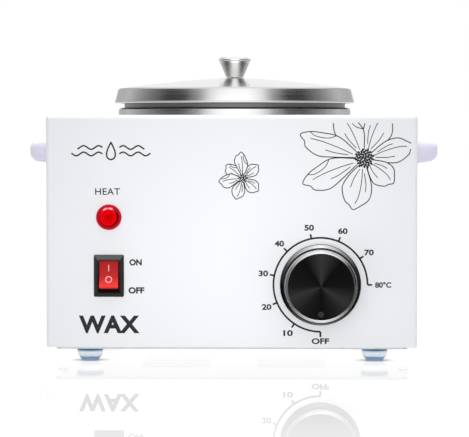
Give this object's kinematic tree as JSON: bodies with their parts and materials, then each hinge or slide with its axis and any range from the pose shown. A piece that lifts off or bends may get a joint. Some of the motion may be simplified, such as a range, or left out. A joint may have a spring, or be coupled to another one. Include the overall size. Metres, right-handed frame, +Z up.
{
  "type": "wax warmer",
  "caption": "Single-pot wax warmer: white box casing with side handles, lift-out pot under a domed steel lid, pilot lamp, rocker switch and thermostat dial on the front.",
  "frame": {"origin": "middle of the whole object's bounding box, on the surface that it stands on", "axes": "+Z up, front panel with lamp, switch and dial faces -Y, +X to the right seen from the front"},
  "size_m": [0.212, 0.2049, 0.1554],
  "materials": {
    "enamel_white": "semi-gloss white enamel",
    "zinc_sheet": "plain zinc-plated sheet",
    "fastener_steel": "zinc-plated",
    "foot_blue": "translucent, soft",
    "handle_white": "smooth, semi-gloss",
    "stainless": "spun and polished",
    "pot_aluminium": "spun, satin",
    "heater_steel": "rolled, heat-tinted",
    "ceramic_white": "glazed ceramic",
    "insulation_wool": "felted glass wool",
    "tin_tags": "tinned brass",
    "copper": "drawn copper",
    "bakelite": "moulded phenolic",
    "shaft_steel": "turned",
    "knob_silver": "bright turned metal",
    "knob_black": "spun black",
    "pointer_grey": "smooth",
    "switch_black": "satin",
    "rocker_red": "translucent red",
    "lens_red": "clear red, lit from inside",
    "nylon_white": "natural nylon",
    "neon_orange": "lit",
    "inlet_black": "fine texture",
    "cutout_steel": "pressed",
    "wire_brown": "silicone sleeve",
    "wire_red": "silicone sleeve",
    "wire_blue": "silicone sleeve",
    "wire_black": "silicone sleeve",
    "wire_green": "silicone sleeve"
  },
  "bodies": {
    "casing": {"casing_shell": "enamel_white", "bottom_plate": "zinc_sheet", "bottom_screws": "fastener_steel", "foot_front_left": "foot_blue", "foot_front_right": "foot_blue", "foot_rear_left": "foot_blue", "foot_rear_right": "foot_blue", "foot_fasteners": "fastener_steel", "handle_left": "handle_white", "handle_right": "handle_white", "handle_screws": "fastener_steel", "well_ring": "stainless", "heating_well": "pot_aluminium", "retaining_ring": "zinc_sheet", "band_heater": "heater_steel", "clamp_fasteners": "fastener_steel", "heater_terminals": "ceramic_white", "insulation_wrap": "insulation_wool", "insulation_pad": "insulation_wool", "pressure_plate": "zinc_sheet", "stud_fasteners": "fastener_steel", "thermal_cutout": "cutout_steel", "thermostat_bulb": "copper", "capillary_tube": "copper", "thermostat_bracket": "zinc_sheet", "thermostat_body": "bakelite", "thermostat_terminals": "tin_tags", "thermostat_screws": "fastener_steel", "switch_housing": "switch_black", "switch_terminals": "tin_tags", "lamp_lens": "lens_red", "lamp_body": "nylon_white", "lamp_nut": "nylon_white", "neon_bulb": "neon_orange", "inlet_body": "inlet_black", "inlet_pins": "tin_tags", "inlet_screws": "fastener_steel", "inlet_nuts": "fastener_steel", "earth_stud": "fastener_steel", "earth_nut": "tin_tags", "wire_live_in": "wire_brown", "wire_switch_out": "wire_brown", "wire_thermostat_out": "wire_red", "wire_heater_live": "wire_red", "wire_neutral": "wire_blue", "wire_lamp_live": "wire_black", "wire_lamp_neutral": "wire_black", "wire_earth": "wire_green", "wire_connectors": "nylon_white"},
    "inner_pot": {"inner_pot": "pot_aluminium"},
    "lid": {"lid_shell": "stainless", "lid_knob": "stainless", "lid_washer": "fastener_steel", "lid_screw": "fastener_steel"},
    "temperature_knob": {"knob_body": "knob_silver", "knob_insert": "knob_black", "knob_pointer": "pointer_grey", "thermostat_spindle": "shaft_steel"},
    "switch_rocker": {"switch_rocker": "rocker_red"}
  },
  "joints": [
    {"name": "lift_pot", "type": "slide", "parent": "casing", "child": "inner_pot", "axis": [0, 0, 1], "range_m": [0, 0.12]},
    {"name": "lift_lid", "type": "slide", "parent": "inner_pot", "child": "lid", "axis": [0, 0, 1], "range_m": [0, 0.15]},
    {"name": "turn_knob", "type": "hinge", "parent": "casing", "child": "temperature_knob", "pos_m": [0.0443, -0.085, 0.0395], "axis": [0, 1, 0], "range_deg": [0, 270]},
    {"name": "rock_switch", "type": "hinge", "parent": "casing", "child": "switch_rocker", "pos_m": [-0.0611, -0.0838, 0.0439], "axis": [1, 0, 0], "range_deg": [0, 24]}
  ]
}
